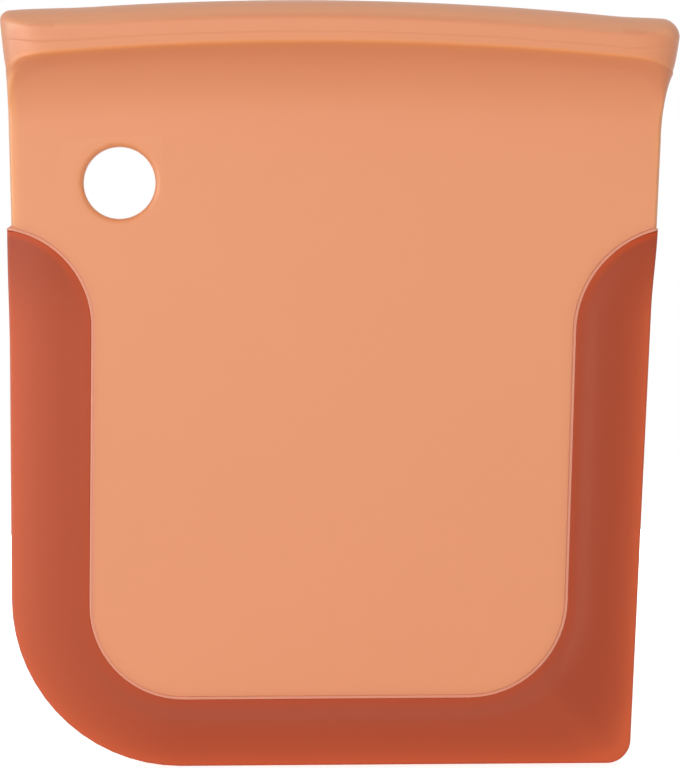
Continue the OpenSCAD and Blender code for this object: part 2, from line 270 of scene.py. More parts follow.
# Boundary between face and soft edge on one side, with x counted as if the side were the left one.
# It is an arc round the arm's end, a leaning line and an arc into the bottom. Moved inwards by inset,
# both arcs keep their middles, and their radii grow and shrink by it. sideAt is the function for the
# outer side, where the boundary starts. Returns points and inward normals, one for each row, and the
# arc's data.
def sideBoundary(name, inset, sideAt):
    arm = arms[name]
    lean = math.radians(arm["innerLean"]) * (1 if name == "left" else -1)
    inner = arm["foot"] - arm["width"]

    def lineX(z):
        return z * math.tan(lean) - inner

    topR = arm["endRadius"] + inset
    topMid = np.array([lineX(arm["top"] - arm["endRadius"]) - arm["endRadius"] / math.cos(lean),
                       arm["top"] - arm["endRadius"]])
    lowR = arm["innerRadius"] - inset
    lowZ = edge["band"] + arm["innerRadius"]
    lowMid = np.array([lineX(lowZ) + arm["innerRadius"] / math.cos(lean), lowZ])
    z = arm["top"]
    for _ in range(8):                      # where the arc meets the side
        angle = math.acos((-sideAt(name, z) - topMid[0]) / topR)
        z = topMid[1] + topR * math.sin(angle)
    first = np.linspace(angle, -lean, counts["armEnd"])
    last = np.linspace(math.pi - lean, 1.5 * math.pi, counts["innerCorner"])
    outward = np.stack([np.cos(first), np.sin(first)], 1)
    inward = np.stack([np.cos(last), np.sin(last)], 1)
    arc = topMid + topR * outward
    corner = lowMid + lowR * inward
    share = np.linspace(0, 1, counts["inner"] + 2)[1:-1, None]
    line = arc[-1] * (1 - share) + corner[0] * share
    points = np.concatenate([arc, line, corner])
    normals = np.concatenate([outward, np.repeat(outward[-1:], len(line), 0), -inward])
    return {"points": points, "normals": normals, "arcMiddle": topMid, "arcRadius": topR,
            "arcStart": angle}


# Rows of points beside a boundary: point + offset * normal. Round the arm's end each offset starts
# shift further along the arc, which fades over reach: moved = shift + length (1 - shift / reach).
def rowsBeside(bound, offset, shift, reach):
    points = bound["points"][:, None] + offset[None, :, None] * bound["normals"][:, None]
    normals = bound["normals"][:counts["armEnd"]]
    length = (bound["arcStart"] - np.arctan2(normals[:, 1], normals[:, 0])) * bound["arcRadius"]
    length = length[:, None]
    moved = np.where(length < reach, shift + length * (1 - shift / reach), length)
    angle = bound["arcStart"] - moved / bound["arcRadius"]
    direction = np.stack([np.cos(angle), np.sin(angle)], -1)
    points[:len(normals)] = bound["arcMiddle"] + (bound["arcRadius"] + offset[None, :, None]) * direction
    return points


# Makes one smooth mesh object from vertices in millimetres and a list of quads or polygons.
def makeMesh(name, points, faces):
    mesh = bpy.data.meshes.new(name)
    mesh.from_pydata((np.asarray(points) * mm).tolist(), [], faces)
    mesh.validate()
    mesh.polygons.foreach_set("use_smooth", np.ones(len(mesh.polygons), bool))
    mesh.update()
    piece = bpy.data.objects.new(name, mesh)
    bpy.context.scene.collection.objects.link(piece)
    return piece


def addShare(piece, name, values):
    layer = piece.data.attributes.new(name, "FLOAT", "POINT")
    layer.data.foreach_set("value", np.asarray(values, np.float32))


# Quads of a grid of vertex numbers, listed against the clock with rows going down.
def gridQuads(index):
    quads = np.stack([index[:-1, :-1], index[1:, :-1], index[1:, 1:], index[:-1, 1:]], -1)
    return quads.reshape(-1, 4)


# Quads with a point listed twice in a row become triangles, and empty ones are left out.
def withoutRepeats(quads):
    fresh = quads != np.roll(quads, 1, 1)
    return [quad[keep].tolist() for quad, keep in zip(quads, fresh) if keep.sum() > 2]


# Columns across the face, as shares of its width, closer together round the hole, and the first and
# last one over the patch round the hole.
def faceColumns():
    before = np.linspace(0, hole["from"], counts["left"])[:-1]
    over = np.linspace(hole["from"], hole["to"], counts["middle"])[:-1]
    after = np.linspace(hole["to"], 1, counts["right"])
    return np.concatenate([before, over, after]), len(before), len(before) + len(over)


# Front half of the grip and plate as a grid of points. Each row starts at the left tip, goes round
# the left end, straight across and round the right end. Rows go down over the dome, the rolling
# ball's shoulder, the upright face, the lower corner, the hollow flare, the plate, and then along
# the boundary of the soft edge.
def bodyRows():
    turn = np.linspace(0, math.pi / 2, counts["rim"])
    columns, _, _ = faceColumns()
    across = len(columns)
    allTurn = np.concatenate([turn, np.full(across - 2, math.pi / 2), turn[::-1]])
    side = np.concatenate([-np.ones(len(turn)), np.zeros(across - 2), np.ones(len(turn))])
    isLeft = side < 0
    isRight = side > 0

    def ringX(tipLeft, tipRight, inwards):
        startX = -tipLeft + inwards[-1]
        endX = tipRight - inwards[-1]
        middle = startX + (endX - startX) * columns[1:-1]
        return np.concatenate([-tipLeft + inwards, middle, (tipRight - inwards)[::-1]])

    def lifted(x, z, share):
        liftRun = np.where(x < 0, ends["left"]["liftRun"], ends["right"]["liftRun"])
        near = smoothStep((np.abs(x) - halfLength + liftRun) / liftRun)
        return z + bowRise(x, grip["bowRadius"], grip["bowMiddle"]) + grip["lift"] * share * near

    run = grip["endRun"]
    power = grip["endPower"]

    # the lower corner falls round both ends, (1 - in / run)^ease, and leans against the top
    def dropAt(inwards):
        fall = [end["drop"] * np.maximum(0, 1 - inwards / end["dropRun"]) ** grip["dropEase"]
                for end in (ends["left"], ends["right"])]
        return fall[0] * isLeft + fall[1] * isRight

    def leant(x):
        return grip["cornerTilt"] * x + grip["cornerShift"]

    tipShare = np.maximum(0, 1 - run * endIn(allTurn) / grip["tipRun"])
    # outline of the upright face from above, its outward normals, and the rolling ball
    outlineX = ringX(halfLength, halfLength, run * endIn(turn))
    outlineY = -halfGrip * endOut(allTurn)
    normal = np.stack([side * (1 - endIn(allTurn)) ** (power - 1) / run,
                       -endOut(allTurn) ** (power - 1) / halfGrip], 1)
    normal /= np.linalg.norm(normal, axis=1)[:, None]
    corner = ends["left"]["corner"] * isLeft + ends["right"]["corner"] * isRight
    ball = grip["shoulderRadius"] + (corner - grip["shoulderRadius"]) * tipShare ** 2 * (isLeft | isRight)
    ballX = outlineX - ball * normal[:, 0]
    ballY = outlineY - ball * normal[:, 1]
    ballZ = ballHeight(ballY, ball)
    tilt = ballY / (grip["domeRadius"] - ball)
    rows = []
    # the dome, from the ridge to where the ball touches it
    touchX = ballX
    touchY = ballY + ball * tilt
    middleX = np.where(isLeft, -halfLength + run, halfLength - run)
    for w in np.linspace(1, 0, counts["dome"], endpoint=False):
        x = np.where(isLeft | isRight, touchX + (middleX - touchX) * grip["ridgeIn"] * w, touchX)
        y = touchY * (1 - w)
        z = domeZ + np.sqrt(grip["domeRadius"] ** 2 - y ** 2)
        rows.append(np.stack([x, y, lifted(x, z, 1)], 1))
    # the shoulder: unit vectors between the dome's normal and the wall's normal
    for t in np.linspace(1, 0, counts["shoulder"]):
        ux = (1 - t) * normal[:, 0]
        uy = (1 - t) * normal[:, 1] + t * tilt
        uz = t * np.sqrt(1 - tilt ** 2)
        size = np.sqrt(ux ** 2 + uy ** 2 + uz ** 2)
        x = ballX + ball * ux / size
        rows.append(np.stack([x, ballY + ball * uy / size, lifted(x, ballZ + ball * uz / size, 1)], 1))
    # the upright face, with the parting line pressed into it
    lowZ = cornerZ + grip["lipRadius"] * math.sin(flareSweep)
    lowZ = lowZ - dropAt(run * endIn(allTurn)) + leant(outlineX)
    nearEnd = (np.abs(outlineX) - halfLength + grip["seamLiftRun"]) / grip["seamLiftRun"]
    seamZ = cornerZ + grip["seamHeight"] + grip["seamLift"] * smoothStep(nearEnd)
    seamZ = seamZ + grip["seamTilt"] * outlineX
    seamShare = (ballZ - seamZ) / (ballZ - lowZ)
    seamHalf = grip["seamWidth"] / 2 / (ballZ - lowZ)
    above = np.linspace(0, 1, counts["wall"])[1:-1, None] * (seamShare - seamHalf)
    within = seamShare + seamHalf * np.linspace(-1, 1, counts["seam"])[:, None]
    below = seamShare + seamHalf + (1 - seamShare - seamHalf) * np.linspace(0, 1, counts["wall"])[1:-1, None]
    groove = [0] * len(above) + list(1 - np.linspace(-1, 1, counts["seam"]) ** 2) + [0] * len(below)
    for s, press in zip(np.concatenate([above, within, below]), groove):
        faceShare = 1 - s
        levelZ = shoulderZ + (cornerZ - shoulderZ) * s
        tips = [endTip(ends[name], levelZ, 1, faceShare) for name in ("left", "right")]
        x = outlineX + isLeft * (halfLength - tips[0]) - isRight * (halfLength - tips[1])
        y = -(halfGrip - grip["seamDepth"] * press) * endOut(allTurn)
        rows.append(np.stack([x, y, lifted(x, ballZ * (1 - s) + lowZ * s, faceShare)], 1))
    # the lower corner and the hollow flare
    angles = np.linspace(0, flareSweep, counts["corner"])
    levels = [(cornerZ + grip["lipRadius"] * (math.sin(flareSweep) - math.sin(a)),
               halfGrip - grip["lipRadius"] * (1 - math.cos(a)), 1) for a in angles]
    angles = np.linspace(flareSweep, 0, counts["flare"])[1:]
    levels += [(flareZ + flareRadius * math.sin(a), halfPlate + flareRadius * (1 - math.cos(a)),
                (1 - math.cos(a)) / (1 - math.cos(flareSweep))) for a in angles]
    cornerRow = len(rows) + counts["corner"] // 2
    sideIn = plate["sideRun"] * (1 - np.cos(turn))
    fullDepth = halfGrip / grip["softReach"]
    leastTurn = math.asin((halfPlate / fullDepth) ** (power / 2)) / turn[-1]
    for levelZ, depth, share in levels:
        tips = [endTip(ends[name], levelZ, share, 0) for name in ("left", "right")]
        # the part of the end's quarter turn that this level uses
        reach = min(grip["softReach"], halfGrip / depth)
        part = 1 - (1 - leastTurn) * min(1, (fullDepth - min(depth, fullDepth)) / (fullDepth - halfPlate))
        inwards = run * endIn(part * turn) + sideIn * (1 - share)
        x = ringX(tips[0], tips[1], inwards)
        cut = softened(np.minimum(endOut(part * allTurn) * halfGrip / depth, reach), reach)
        fromPlate = smoothStep(share / grip["plateShare"])
        y = -depth * (cut * fromPlate + np.sin(allTurn) * (1 - fromPlate))
        moved = leant(x) - dropAt(run * endIn(part * allTurn))
        rows.append(np.stack([x, y, lifted(x, levelZ + moved * share, 0)], 1))
    # the flat plate, down to the shoulders above both arms
    bounds = {name: sideBoundary(name, plate["landWidth"], plateSide) for name in ("left", "right")}
    lastRow = rows[-1]
    endZ = {name: bounds[name]["points"][0][1] + plate["shoulder"] for name in bounds}
    target = endZ["left"] + (endZ["right"] - endZ["left"]) * (lastRow[:, 0] + halfLength) / (2 * halfLength)
    sag = plate["rowSag"] * np.sin(math.pi * columns[1:-1])
    target[len(turn):-len(turn)] -= sag
    for s in np.linspace(0, 1, counts["plate"] + 1)[1:]:
        z = lastRow[:, 2] * (1 - s) + target * s
        x = ringX(plateSide("left", z[0]), plateSide("right", z[-1]), sideIn)
        rows.append(np.stack([x, -halfPlate * np.sin(allTurn), z], 1))
    upper = np.array(rows)
    # along the boundary: offsets from it and the depth of the stepped edge at each of them
    rings = plate["rimRings"]
    bend = np.linspace(0, math.pi / 2, counts["rim"] - 1 - len(rings))
    radius = plate["rimRadius"]
    offset = np.concatenate([[0], radius * (1 - np.cos(bend)), rings])
    depth = np.concatenate([[0], halfPlate - radius + radius * np.sin(bend), [halfPlate] * len(rings)])
    rims = {}
    for name, bound in bounds.items():
        points = rowsBeside(bound, offset, sideIn, plate["sideReach"] * plate["sideRun"])
        fromSide = points[:, :, 0] + plateSide(name, points[:, :, 1])
        rounded = halfPlate * np.sqrt(1 - (1 - np.clip(fromSide / plate["sideRun"], 0, 1)) ** 2)
        rims[name] = np.stack([points[:, :, 0], -np.minimum(depth[None], rounded), points[:, :, 1]], -1)
    rims["right"] = rims["right"] * [-1, 1, 1]
    first = rims["left"][:, -1:]
    last = rims["right"][:, -1:]
    between = first + (last - first) * columns[None, 1:-1, None]
    between[:, :, 2] -= np.linspace(1, 0, len(between))[:, None] * sag
    lower = np.concatenate([rims["left"], between, rims["right"][:, ::-1]], 1)
    # below the last row, the stepped edge goes on along the bottom
    bottom = np.repeat(lower[-1:, counts["rim"] - 1:counts["rim"] - 1 + across], counts["rim"] - 1, 0)
    bottom[:, :, 2] += (offset[-2::-1] - offset[-1])[:, None]
    bottom[:, :, 1] = -depth[-2::-1][:, None]
    return np.concatenate([upper, lower]), bottom, cornerRow, len(upper) - 1


# Least distance from each point to a path, by its straight pieces. Many points are done in batches,
# so that the table of all distances stays small.
def distanceTo(points, path, batch=4000):
    start, step = path[:-1], np.diff(path, axis=0)
    length = np.maximum((step ** 2).sum(1), 1e-12)
    nearest = np.zeros(len(points))
    for first in range(0, len(points), batch):
        away = points[first:first + batch, None] - start[None]
        share = np.clip((away * step).sum(2) / length, 0, 1)
        gap = away - share[..., None] * step
        nearest[first:first + batch] = np.sqrt((gap ** 2).sum(2)).min(1)
    return nearest


# The whole body: the front grid and its mirror image share their tips and the ridge, and a window
# in both is filled with rings that run into the rounded hole.
def makeBody():
    rows, bottom, cornerRow, low = bodyRows()
    _, firstColumn, lastColumn = faceColumns()
    rim = counts["rim"]
    rowCount, columnCount = rows.shape[:2]
    index = np.arange(rowCount * columnCount).reshape(rowCount, columnCount)
    across = columnCount - 2 * (rim - 1)
    lowIndex = np.zeros((rim, across), int)
    lowIndex[0] = index[-1, rim - 1:rim - 1 + across]
    lowIndex[:, 0] = index[-1, :rim][::-1]
    lowIndex[:, -1] = index[-1, columnCount - rim:]
    fresh = rowCount * columnCount + np.arange((rim - 1) * (across - 2)).reshape(rim - 1, across - 2)
    lowIndex[1:, 1:-1] = fresh
    points = [rows.reshape(-1, 3), bottom[:, 1:-1].reshape(-1, 3)]
    count = rowCount * columnCount + fresh.size
    # the window round the hole, in rows and columns of the grid
    left = rim - 1 + firstColumn
    right = rim - 1 + lastColumn
    middle = (left + right) // 2
    top = np.argmax(rows[:, middle, 2] < hole["z"] + hole["window"])
    loop = np.concatenate([index[top:low, left], index[low, left:right], index[low:top:-1, right],
                           index[top, right:left:-1]])
    loopPoints = rows.reshape(-1, 3)[loop]
    angle = np.arctan2(loopPoints[:, 2] - hole["z"], loopPoints[:, 0] - hole["x"])
    direction = np.stack([np.cos(angle), np.zeros(len(angle)), np.sin(angle)], 1)
    centre = np.array([hole["x"], 0, hole["z"]])
    outer = hole["radius"] + hole["rim"]
    shares = (np.arange(1, counts["holePatch"] + 1) / counts["holePatch"])[:, None, None]
    circle = centre + outer * direction + [0, -halfPlate, 0]
    patch = loopPoints[None] * (1 - shares) + circle[None] * shares
    bend = np.linspace(0, math.pi / 2, counts["holeRim"])[1:, None, None]
    inwards = centre + (outer - hole["rim"] * np.sin(bend)) * direction[None]
    inwards = inwards + np.array([0, -1, 0]) * (halfPlate - hole["rim"] * (1 - np.cos(bend)))
    straight = centre[None] + hole["radius"] * direction[None]
    rings = np.concatenate([patch, inwards, straight])
    ringIds = count + np.arange(rings.shape[0] * rings.shape[1]).reshape(rings.shape[:2])
    points.append(rings.reshape(-1, 3))
    ringIndex = np.concatenate([loop[None], ringIds])
    ringIndex = np.concatenate([ringIndex, ringIndex[:, :1]], 1)
    points = np.concatenate(points)
    keep = np.ones((rowCount - 1, columnCount - 1), bool)
    keep[top:low, left:right] = False
    ringQuads = gridQuads(ringIndex)[:, ::-1]
    front = np.concatenate([gridQuads(index)[keep.ravel()], gridQuads(lowIndex), ringQuads])
    # the mirror image at the back, which shares every point on the middle plane
    shared = np.abs(points[:, 1]) < 1e-9
    twin = np.where(shared, np.arange(len(points)), len(points) + np.cumsum(~shared) - 1)
    back = twin[front][:, ::-1]
    everything = np.concatenate([points, points[~shared] * [1, -1, 1]])
    body = makeMesh("grip_and_plate", everything, np.concatenate([front, back]).tolist())
    # masks of painted glow, sheen and shade for the material, from how far each point lies from the lower
    # corner along its column, from the hole and from both sides of the plate; points off the grid are nowhere
    # near the corner
    steps = np.linalg.norm(np.diff(rows, axis=0), axis=2)
    travel = np.concatenate([np.zeros((1, columnCount)), np.cumsum(steps, 0)])
    gridSize = rowCount * columnCount
    onGrid = np.arange(len(points)) < gridSize
    fromCorner = np.full(len(points), np.inf)
    fromCorner[:gridSize] = (travel - travel[cornerRow]).ravel()
    fromHole = np.hypot(points[:, 0] - hole["x"], points[:, 2] - hole["z"]) - hole["radius"]
    fromLeft = np.maximum(points[:, 0] + plateSide("left", points[:, 2]), 0)
    fromRight = np.maximum(plateSide("right", points[:, 2]) - points[:, 0], 0)
    below = (fromCorner > 0) & onGrid
    borders = [sideBoundary(name, plate["landWidth"], plateSide)["points"] for name in ("left", "right")]
    border = np.concatenate([borders[0], borders[1][::-1] * [-1, 1]])
    width = glow["cornerWidth"] + below * glow["cornerGrowth"] * np.exp(-fromLeft / glow["growthReach"])
    share = glow["cornerShare"] * (1 - glow["cornerFade"] * np.exp(-fromRight / glow["fadeReach"]))
    fromRim = np.abs(fromHole - glow["holeOffset"])
    onFace = smoothStep((fromCorner + glow["faceHeight"]) / glow["faceRise"])
    inwards = smoothStep((halfLength - np.abs(points[:, 0])) / glow["tipFade"])
    beside = np.exp(-distanceTo(points[:, [0, 2]], border) / glow["edgeWidth"])
    # painted sheen on the dome, painted glow at the corner, the hole and the plate's sides, and painted shade
    # in the hollow, beside the land and on the upright face
    masks = {
        "topSheen": (1 - onFace) * inwards,
        "paintedEdgeGlow": np.maximum(share * np.exp(-np.abs(fromCorner) / width),
                               glow["holeShare"] * np.exp(-fromRim / glow["holeWidth"])),
        "hollow": below * np.exp(-(np.abs(fromCorner) / glow["hollowDepth"]) ** glow["hollowPower"]),
        "edgeAndFaceShade": beside + onFace * inwards * smoothStep(-fromCorner / glow["faceRise"]) * glow["faceShare"],
        "sideGlow": below * np.maximum(
            smoothStep(fromCorner / glow["leftStart"]) * np.exp(-(fromLeft / glow["leftDepth"]) ** 2),
            smoothStep(fromCorner / glow["rightStart"]) * glow["rightShare"]
            * np.exp(-(fromRight / glow["rightDepth"]) ** 2)),
    }
    for label, values in masks.items():
        addShare(body, label, np.concatenate([values, values[~shared]]))
    return body


bodyPiece = makeBody()
print(f"body: {len(bodyPiece.data.vertices)} points, {len(bodyPiece.data.polygons)} faces")


# Strip of the body that lies beside the soft edge, a little below the raised face. Its section is
# carried along the boundary: offsets inwards from it, and depths from the middle plane. Above both
# arms its end slopes back to the plate.
def makeLand():
    width = plate["landWidth"] + plate["sunk"]
    radius = plate["landRadius"]
    bend = np.linspace(0, math.pi / 2, counts["landEdge"])
    offset = np.concatenate([radius * (1 - np.cos(bend)), [plate["shoulderLip"], width]])
    depth = np.concatenate([halfSoft - radius + radius * np.sin(bend), [halfSoft, halfSoft]])
    offset = np.concatenate([offset, offset[::-1]])
    depth = np.concatenate([depth, -depth[::-1]])
    slope = np.maximum(0, offset - plate["shoulderLip"])
    left, right = [rowsBeside(sideBoundary(name, 0, armSide), offset, slope, plate["slopeReach"] * width)
                   for name in ("left", "right")]
    right = right[::-1] * [-1, 1]
    share = np.linspace(0, 1, counts["landBottom"])[1:-1, None, None]
    path = np.concatenate([left, left[-1] * (1 - share) + right[0] * share, right])
    y = np.broadcast_to(-depth, path.shape[:2])
    points = np.stack([path[..., 0], y, path[..., 1]], -1)
    index = np.arange(points.shape[0] * points.shape[1]).reshape(points.shape[:2])
    ring = np.concatenate([index, index[:, :1]], 1)
    faces = gridQuads(ring).tolist()
    # both ends are closed by strips between the front and the back
    near = np.arange(len(offset) // 2 - 1)
    far = len(offset) - 1 - near
    cap = np.stack([near, near + 1, far - 1, far], 1)
    faces += index[0][cap].tolist() + index[-1][cap[:, ::-1]].tolist()
    piece = makeMesh("plate_land", points.reshape(-1, 3), faces)
    addShare(piece, "paleLand", np.ones(index.size))
    return piece


landPiece = makeLand()
print(f"land: {len(landPiece.data.vertices)} points, {len(landPiece.data.polygons)} faces")


# Pairs of points on the inner boundary and the outer outline of the soft edge, from the top of the
# left arm round the bottom to the top of the right arm, with the outline's inward normals.
def softPairs():
    pairs = {}
    for name in ("left", "right"):
        arm = arms[name]
        bound = sideBoundary(name, 0, armSide)
        count = counts["armEnd"] + counts["inner"]
        inner = bound["points"][:count]
        lean = math.radians(arm["lean"])
        cornerRadius = edge["bowlRadius"] if name == "left" else edge["tinRadius"]
        # middle of the outer corner: one radius above the bottom and one radius in from the side
        middle = np.array([cornerRadius / math.cos(lean) - armSide(name, cornerRadius), cornerRadius])
        lowest = middle[1] - cornerRadius * math.sin(lean)
        innerLow = inner[-1, 1]
        z = inner[:, 1]
        start = bound["points"][counts["armEnd"], 1]
        share = np.clip((start - z) / (start - innerLow), 0, 1)
        outerZ = z + share * (max(innerLow, lowest) - innerLow)
        outer = np.stack([-armSide(name, outerZ), outerZ], 1)
        normal = np.repeat([[math.cos(lean), math.sin(lean)]], count, 0)
        # round the outer corner, seen from the middle of the inner one
        arcMid = bound["points"][-1] + [0, arm["innerRadius"]]
        turn = np.linspace(math.pi + lean * (name == "right"), 1.5 * math.pi, counts["outerCorner"])
        spoke = np.stack([np.cos(turn), np.sin(turn)], 1)
        arc = middle + cornerRadius * spoke
        extraSide = np.linspace(outer[-1], arc[0], counts["side"])[1:-1]
        extraLow = np.linspace(arc[-1], [arcMid[0], 0], counts["foot"])[1:]
        cornerOuter = np.concatenate([extraSide, arc, extraLow])
        cornerNormal = np.concatenate([normal[:len(extraSide)], -spoke,
                                       np.repeat([[0.0, 1.0]], len(extraLow), 0)])
        away = cornerOuter - arcMid
        angle = np.arctan2(away[:, 1], away[:, 0])
        angle = np.where(angle > 0, angle - 2 * math.pi, angle)
        innerLean = math.radians(arm["innerLean"]) * (1 if name == "left" else -1)
        first = -math.pi - innerLean + edge["leastTurn"] * np.arange(1, len(angle) + 1)
        angle = np.clip(angle, first, -math.pi / 2)
        cornerInner = arcMid + arm["innerRadius"] * np.stack([np.cos(angle), np.sin(angle)], 1)
        pairs[name] = (np.concatenate([inner, cornerInner]), np.concatenate([outer, cornerOuter]),
                       np.concatenate([normal, cornerNormal]))
    flip = np.array([-1, 1])
    left, right = pairs["left"], [part[::-1] * flip for part in pairs["right"]]
    share = np.linspace(0, 1, counts["bottom"])[1:-1, None]
    joined = [np.concatenate([a, a[-1] * (1 - share) + b[0] * share, b]) for a, b in zip(left, right)]
    return joined


# Half thickness of the soft edge at a distance from its rim: a round lip, then a quarter sine wave
# up to the full thickness, and a small round edge at the joint.
def softDepth(rim, joint):
    lip = edge["lip"] / 2
    lipRound = lip * np.sqrt(1 - (1 - np.clip(rim / lip, 0, 1)) ** 2)
    rise = np.sin(0.5 * math.pi * np.clip((rim - lip) / (edge["taper"] - lip), 0, 1))
    radius = edge["jointRadius"]
    dip = radius * (1 - np.sqrt(1 - (1 - np.clip(joint / radius, 0, 1)) ** 2))
    return np.where(rim < lip, lipRound, lip + (halfSoft - lip) * rise) - dip


# The soft edge: rows of points run from the rim to the joint, first along the outline's normals and
# then straight to the inner point, w^p of the way, and both faces get the half thickness there.
def makeSoftEdge():
    inner, outer, normal = softPairs()
    length = np.linalg.norm(outer - inner, axis=1)
    near = np.array(edge["rimRows"])
    scale = np.minimum(1, length / edge["rimFull"])[:, None, None]
    first = outer[:, None] + normal[:, None] * near[None, :, None] * scale
    share = np.linspace(0, 1, counts["width"])[1:-1] ** edge["rowPower"]
    share = np.concatenate([share, edge["jointRows"]])[None, :, None]
    last = first[:, -1:] * (1 - share) + inner[:, None] * share
    flat = np.concatenate([first, last], 1)
    shape = flat.shape[:2]
    places = flat.reshape(-1, 2)
    rim = distanceTo(places, outer)
    joint = distanceTo(places, inner)
    depth = softDepth(rim, joint).reshape(shape)
    depth[:, 0] = 0
    front = np.stack([flat[..., 0], -depth, flat[..., 1]], -1)
    # the back is the mirror image and shares the rim
    index = np.arange(front.shape[0] * front.shape[1]).reshape(shape)
    backIndex = len(places) + np.arange(shape[0] * (shape[1] - 1)).reshape(shape[0], -1)
    backIndex = np.concatenate([index[:, :1], backIndex], 1)
    points = np.concatenate([front.reshape(-1, 3), (front[:, 1:] * [1, -1, 1]).reshape(-1, 3)])
    # both arms end in a point on the outline
    for row in (0, -1):
        index[row] = index[row, 0]
        backIndex[row] = index[row, 0]
    wall = np.stack([index[:, -1], backIndex[:, -1]], 1)
    faces = np.concatenate([gridQuads(index), gridQuads(backIndex)[:, ::-1], gridQuads(wall)])
    used, faces = np.unique(faces, return_inverse=True)
    piece = makeMesh("soft_scraping_edge", points[used], withoutRepeats(faces.reshape(-1, 4)))
    # painted glow where light gets into the thin rim, deeper where it faces left: exp(-distance / depth)
    below = smoothStep((arms["left"]["top"] - flat[..., 1]) / edge["glowFade"])
    facesLeft = np.maximum(normal[:, :1], 0)
    reach = edge["glowDepth"] + (edge["glowLeft"] - edge["glowDepth"]) * facesLeft
    fromTin = np.hypot(flat[..., 0] - arms["right"]["foot"], flat[..., 1])
    rimGlow = np.exp(-rim.reshape(shape) / reach) * below
    rimGlow = np.minimum(1, rimGlow + edge["cornerGlow"] * np.exp(-(fromTin / edge["cornerReach"]) ** 2))
    jointGlow = smoothStep((edge["jointStrip"] - joint.reshape(shape)) / edge["jointFade"])
    jointGlow = jointGlow * (1 - edge["jointLoss"] * below)
    sheenBand = np.exp(-((joint.reshape(shape) - edge["bandPlace"]) / edge["bandWidth"]) ** 2)
    sheenBand = sheenBand * (1 - facesLeft) * below
    leftArmLight = (1 + normal[:, :1]) / 2 * (1 - edge["leftLoss"] * (1 - below) * facesLeft)
    for label, values in (("rimGlow", rimGlow), ("jointGlow", jointGlow), ("sheenBand", sheenBand),
                          ("leftArmLight", leftArmLight)):
        addShare(piece, label, np.concatenate([values.ravel(), values[:, 1:].ravel()])[used])
    return piece


softPiece = makeSoftEdge()
print(f"soft edge: {len(softPiece.data.vertices)} points, {len(softPiece.data.polygons)} faces")


def newGroup(name, inputs, outputs):
    group = bpy.data.node_groups.new(name, "ShaderNodeTree")
    for label, kind, value in inputs:
        socket = group.interface.new_socket(label, in_out="INPUT", socket_type=kind)
        if value is not None:
            socket.default_value = value
    for label, kind in outputs:
        group.interface.new_socket(label, in_out="OUTPUT", socket_type=kind)
    return group, group.nodes.new("NodeGroupInput"), group.nodes.new("NodeGroupOutput")


# Gives a socket its value, or links it where the value is another node's output.
def feed(tree, socket, value):
    if hasattr(value, "links"):
        tree.links.new(value, socket)
    else:
        socket.default_value = value


def mathNode(tree, operation, first, second, clamp=False):
    node = tree.nodes.new("ShaderNodeMath")
    node.operation = operation
    node.use_clamp = clamp
    feed(tree, node.inputs[0], first)
    feed(tree, node.inputs[1], second)
    return node.outputs[0]


# Of the mix node's sockets, inputs 6 and 7 and output 2 are the ones for colours.
def mixColour(tree, share, first, second):
    node = tree.nodes.new("ShaderNodeMix")
    node.data_type = "RGBA"
    feed(tree, node.inputs[0], share)
    feed(tree, node.inputs[6], first)
    feed(tree, node.inputs[7], second)
    return node.outputs[2]


# Fine moulded texture: a height for bump from noise, and a slow tone that drifts over the piece.
def makeTextureGroup():
    group, given, result = newGroup(
        "mouldedTexture",
        [("Vector", "NodeSocketVector", None), ("Grain Scale", "NodeSocketFloat", 2500.0),
         ("Cloud Scale", "NodeSocketFloat", 30.0)],
        [("Height", "NodeSocketFloat"), ("Tone", "NodeSocketFloat")])
    grain = group.nodes.new("ShaderNodeTexNoise")
    grain.inputs["Detail"].default_value = 3.0
    cloud = group.nodes.new("ShaderNodeTexNoise")
    cloud.inputs["Detail"].default_value = 2.0
    for node, label in ((grain, "Grain Scale"), (cloud, "Cloud Scale")):
        group.links.new(given.outputs["Vector"], node.inputs["Vector"])
        group.links.new(given.outputs[label], node.inputs["Scale"])
    group.links.new(grain.outputs[0], result.inputs["Height"])
    group.links.new(cloud.outputs[0], result.inputs["Tone"])
    return group


textureGroup = makeTextureGroup()


def newMaterial(name):
    material = bpy.data.materials.new(name)
    material.use_nodes = True
    tree = material.node_tree
    return material, tree, tree.nodes["Principled BSDF"]


def useGroup(tree, group, **values):
    node = tree.nodes.new("ShaderNodeGroup")
    node.node_tree = group
    for label, value in values.items():
        feed(tree, node.inputs[label.replace("_", " ")], value)
    return node


def attributeValue(tree, name):
    node = tree.nodes.new("ShaderNodeAttribute")
    node.attribute_name = name
    return node.outputs["Fac"]


# Lays colours of a look over the first one, each where its mask on the piece says so.
def addLayers(tree, colour, look, layers):
    for mask, label in layers:
        colour = mixColour(tree, attributeValue(tree, mask), colour, look[label])
    return colour


# Gloss and bump of one plastic, on the shader's own sockets.
def addFinish(tree, shader, look, height):
    shader.inputs["Roughness"].default_value = look["roughness"]
    shader.inputs["Specular IOR Level"].default_value = look["specular"]
    bump = tree.nodes.new("ShaderNodeBump")
    bump.inputs["Strength"].default_value = look["bump"]
    bump.inputs["Distance"].default_value = look["bumpDepth"]
    tree.links.new(height, bump.inputs["Height"])
    tree.links.new(bump.outputs["Normal"], shader.inputs["Normal"])


def addTexture(tree, look):
    place = tree.nodes.new("ShaderNodeTexCoord").outputs["Object"]
    return useGroup(tree, textureGroup, Vector=place, Grain_Scale=look["grain"], Cloud_Scale=look["cloud"])


